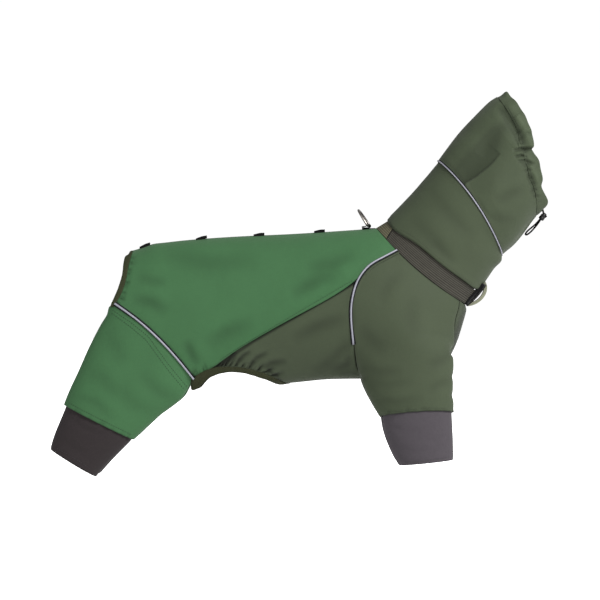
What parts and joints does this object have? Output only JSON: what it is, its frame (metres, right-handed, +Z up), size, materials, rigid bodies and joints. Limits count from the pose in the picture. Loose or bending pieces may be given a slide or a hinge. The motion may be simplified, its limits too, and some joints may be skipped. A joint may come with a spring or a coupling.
{
  "type": "dog rain suit",
  "caption": "Hooded rain suit for a dog, standing filled out and hollow: saddle, belly panel, raglan sleeves, hind legs, knit cuffs, webbing at the neck and a ring on the back.",
  "frame": {"origin": "between the shoulder blades under the back panels, where the wearer's withers carry the suit", "axes": "+X towards the head, +Z up, +Y towards the suit's left side"},
  "size_m": [0.6932, 0.1524, 0.5342],
  "materials": {
    "green_cloth": "coated twill, dull sheen",
    "olive_cloth": "coated twill, dull sheen",
    "front_cuff_knit": "fine knit",
    "hind_cuff_knit": "fine knit",
    "webbing": "ribbed webbing",
    "olive_tape": "ribbed tape",
    "binding": "elastic binding",
    "piping": "light-reflecting piping",
    "black_tape": "woven tape",
    "black_plastic": "moulded",
    "ring_steel": "plated wire",
    "drawcord": "elastic cord"
  },
  "bodies": {
    "suit": {"back_right": "green_cloth", "back_left": "green_cloth", "hind_leg_right": "green_cloth", "hind_leg_left": "green_cloth", "underbody": "olive_cloth", "sleeve_right": "olive_cloth", "sleeve_left": "olive_cloth", "collar": "olive_cloth", "hood_right": "olive_cloth", "hood_left": "olive_cloth", "hood_casing": "olive_cloth", "front_cuff_right": "front_cuff_knit", "front_cuff_left": "front_cuff_knit", "hind_cuff_right": "hind_cuff_knit", "hind_cuff_left": "hind_cuff_knit", "webbing_right": "webbing", "webbing_left": "webbing", "nape_tape": "olive_tape", "throat_loop": "olive_tape", "rump_binding": "binding", "belly_binding": "binding", "shoulder_piping_right": "piping", "shoulder_piping_left": "piping", "hind_piping_right": "piping", "hind_piping_left": "piping", "collar_piping": "piping", "spine_loop_1": "black_tape", "spine_loop_2": "black_tape", "spine_loop_3": "black_tape", "spine_loop_4": "black_tape", "ring_tab": "black_tape", "throat_buckle": "black_plastic", "cord_lock": "black_plastic", "drawcord": "drawcord"},
    "ring": {"back_ring": "ring_steel"}
  },
  "joints": [
    {"name": "ring_swing", "type": "hinge", "parent": "suit", "child": "ring", "pos_m": [0.0405, 0, 0.00816], "axis": [0, 1, 0], "range_deg": [-60, 83]}
  ]
}
